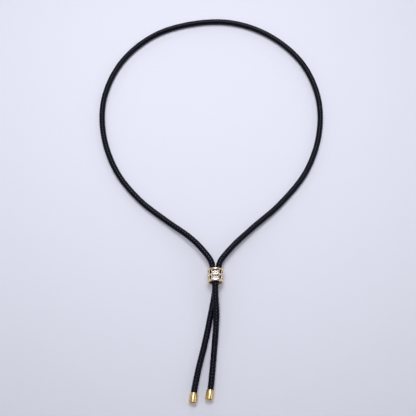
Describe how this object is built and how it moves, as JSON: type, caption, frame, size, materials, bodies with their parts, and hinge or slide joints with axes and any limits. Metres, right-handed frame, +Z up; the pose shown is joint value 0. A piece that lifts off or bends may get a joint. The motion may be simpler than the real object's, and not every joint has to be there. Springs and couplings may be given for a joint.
{
  "type": "leather cord necklace",
  "caption": "Long leather cord necklace laid flat: a loop whose strands pass through a stone-set sliding bead and end in metal-capped tails.",
  "frame": {"origin": "on the surface that the necklace lies on, under the middle of its overall box", "axes": "+Z up from the surface, +Y from the tails to the far side of the loop, +X to the right"},
  "size_m": [0.1661, 0.2922, 0.0118],
  "materials": {
    "leather": "fine round braid, satin",
    "slider_gold": "pale gold plate, polished",
    "cap_gold": "yellow gold plate, polished",
    "crystal": "step-cut, foil-backed"
  },
  "bodies": {
    "root": {"leather_cord": "leather", "slider_frame": "slider_gold", "stone_loop_top": "crystal", "stone_loop_right": "crystal", "stone_loop_bottom": "crystal", "stone_loop_left": "crystal", "stone_tail_top": "crystal", "stone_tail_right": "crystal", "stone_tail_bottom": "crystal", "stone_tail_left": "crystal", "cap_left": "cap_gold", "cap_right": "cap_gold"}
  },
  "joints": []
}
